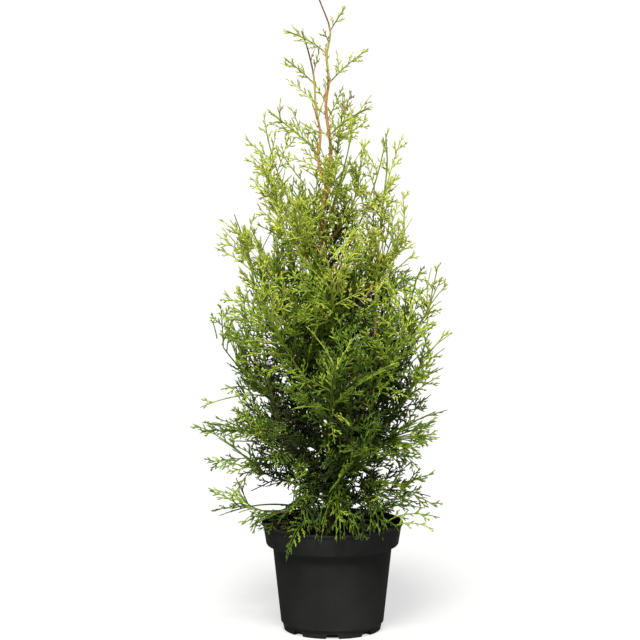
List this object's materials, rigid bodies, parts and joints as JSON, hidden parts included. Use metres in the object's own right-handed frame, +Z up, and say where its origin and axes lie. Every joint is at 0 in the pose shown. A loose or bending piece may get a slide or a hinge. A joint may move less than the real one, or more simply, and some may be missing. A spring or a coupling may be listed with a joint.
{
  "type": "potted conifer",
  "caption": "Young thuja hedging plant in a round black nursery pot: narrow upright crown of flat scale-leaved sprays round one stem with a forked tip.",
  "frame": {"origin": "centre of the pot's flat underside, on the ground", "axes": "+Z up along the stem; +X to the right and +Y away from someone looking at the front, where one spray hangs over the rim"},
  "size_m": [0.3295, 0.3207, 0.8493],
  "materials": {
    "bark": "thin, fibrous red-brown bark",
    "broad_foliage": "flat sprays of small scale leaves, satin",
    "compost": "moist, crumbly potting compost",
    "hanging_foliage": "flat sprays of small scale leaves, satin",
    "high_foliage": "flat sprays of small scale leaves, satin",
    "leader_foliage": "flat sprays of small scale leaves, satin",
    "low_foliage": "flat sprays of small scale leaves, satin",
    "middle_foliage": "flat sprays of small scale leaves, satin",
    "pot": "black injection-moulded polypropylene, satin",
    "leader_bark": "smooth young orange-brown bark",
    "skirt_foliage": "flat sprays of small scale leaves, satin",
    "top_foliage": "flat sprays of small scale leaves, satin"
  },
  "bodies": {
    "root": {"broad_bough_1": "bark", "broad_bough_2": "bark", "broad_bough_3": "bark", "broad_bough_4": "bark", "broad_bough_5": "bark", "broad_foliage_1": "broad_foliage", "broad_foliage_2": "broad_foliage", "broad_foliage_3": "broad_foliage", "broad_foliage_4": "broad_foliage", "broad_foliage_5": "broad_foliage", "compost": "compost", "hanging_spray": "hanging_foliage", "high_bough_1": "bark", "high_bough_2": "bark", "high_bough_3": "bark", "high_bough_4": "bark", "high_bough_5": "bark", "high_foliage_1": "high_foliage", "high_foliage_2": "high_foliage", "high_foliage_3": "high_foliage", "high_foliage_4": "high_foliage", "high_foliage_5": "high_foliage", "leader_spray_1": "leader_foliage", "leader_spray_2": "leader_foliage", "leader_spray_3": "leader_foliage", "leader_spray_4": "leader_foliage", "leader_spray_5": "leader_foliage", "leader_spray_6": "leader_foliage", "low_bough_1": "bark", "low_bough_2": "bark", "low_bough_3": "bark", "low_bough_4": "bark", "low_bough_5": "bark", "low_foliage_1": "low_foliage", "low_foliage_2": "low_foliage", "low_foliage_3": "low_foliage", "low_foliage_4": "low_foliage", "low_foliage_5": "low_foliage", "middle_bough_1": "bark", "middle_bough_2": "bark", "middle_bough_3": "bark", "middle_bough_4": "bark", "middle_bough_5": "bark", "middle_foliage_1": "middle_foliage", "middle_foliage_2": "middle_foliage", "middle_foliage_3": "middle_foliage", "middle_foliage_4": "middle_foliage", "middle_foliage_5": "middle_foliage", "pot": "pot", "second_leader": "leader_bark", "skirt_foliage_1": "skirt_foliage", "skirt_foliage_2": "skirt_foliage", "skirt_foliage_3": "skirt_foliage", "skirt_foliage_4": "skirt_foliage", "skirt_foliage_5": "skirt_foliage", "top_foliage_1": "top_foliage", "top_foliage_2": "top_foliage", "top_foliage_3": "top_foliage", "top_foliage_4": "top_foliage", "trunk": "bark"}
  },
  "joints": []
}
